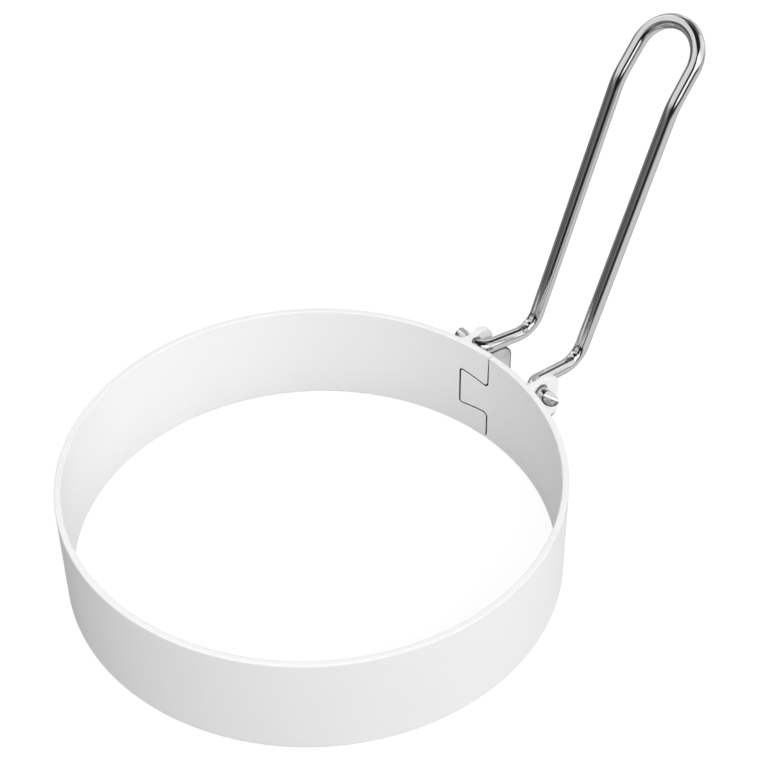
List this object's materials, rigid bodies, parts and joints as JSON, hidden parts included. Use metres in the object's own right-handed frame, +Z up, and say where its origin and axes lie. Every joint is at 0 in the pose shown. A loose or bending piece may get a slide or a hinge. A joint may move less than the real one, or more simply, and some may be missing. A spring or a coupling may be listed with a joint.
{
  "type": "egg ring",
  "caption": "Round egg ring for a frying pan: a white coated steel band with a tall looped wire handle that hinges on ears and folds in over the ring.",
  "frame": {"origin": "middle of the whole object's footprint, on the surface that the ring stands on; the ring's own axis stands 21.3 mm from it towards -X", "axes": "+Z up, along the ring's axis; +X from the ring towards the handle; +Y to the left, along the handle's hinge axis"},
  "size_m": [0.1316, 0.089, 0.0765],
  "materials": {
    "white_coating": "satin white non-stick coating on steel",
    "satin_steel": "plain rolled steel, satin",
    "bright_wire": "bright drawn steel wire, polished"
  },
  "bodies": {
    "ring": {"ring_band": "white_coating", "ear_left": "white_coating", "ear_right": "white_coating", "stop_bracket": "satin_steel"},
    "handle": {"wire_handle": "bright_wire"}
  },
  "joints": [
    {"name": "handle_fold", "type": "hinge", "parent": "ring", "child": "handle", "pos_m": [0.02421, 0, 0.01816], "axis": [0, -1, 0], "range_deg": [0, 95]}
  ]
}
